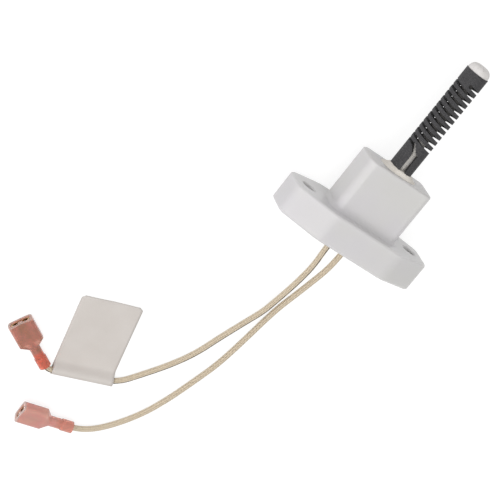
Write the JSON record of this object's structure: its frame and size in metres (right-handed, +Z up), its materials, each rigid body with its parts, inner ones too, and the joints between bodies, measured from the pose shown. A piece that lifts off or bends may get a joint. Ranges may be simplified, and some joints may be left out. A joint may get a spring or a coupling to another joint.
{
  "type": "hot surface igniter",
  "caption": "Spiral silicon carbide heating element cemented into a flanged ceramic block, with braided leads and insulated push-on terminals.",
  "frame": {"origin": "middle of the two screw holes, on the seat: the flange face on the tower's side", "axes": "+Y along the heating element to its tip, +X along the flange from hole to hole, +Z up from the surface that the flange's long side lies on"},
  "size_m": [0.1156, 0.2226, 0.0292],
  "materials": {
    "block_ceramic": "dry-pressed steatite, slight sheen",
    "cement": "rough cast cement, beige",
    "silicon_carbide": "dark grey, granular, matte",
    "white_ceramic": "matte fired ceramic",
    "nickel": "plain nickel sheet",
    "bare_strands": "stranded nickel-plated wire",
    "braid": "varnished glass fibre braid with tan tracers",
    "nylon": "translucent red-pink nylon",
    "brass": "plain rolled brass",
    "crimp_sleeve": "copper-red sleeve",
    "label_paper": "white coated paper, blank"
  },
  "bodies": {
    "root": {"ceramic_block": "block_ceramic", "front_cement": "cement", "heating_element": "silicon_carbide", "lead_label": "label_paper", "left_crimp_sleeve": "crimp_sleeve", "left_lead": "braid", "left_leg_clip": "nickel", "left_receptacle": "brass", "left_splice": "nickel", "left_strands": "bare_strands", "left_terminal_housing": "nylon", "rear_cement": "cement", "right_crimp_sleeve": "crimp_sleeve", "right_lead": "braid", "right_leg_clip": "nickel", "right_receptacle": "brass", "right_splice": "nickel", "right_strands": "bare_strands", "right_terminal_housing": "nylon", "support_rod": "white_ceramic", "tip_cap": "white_ceramic"}
  },
  "joints": []
}
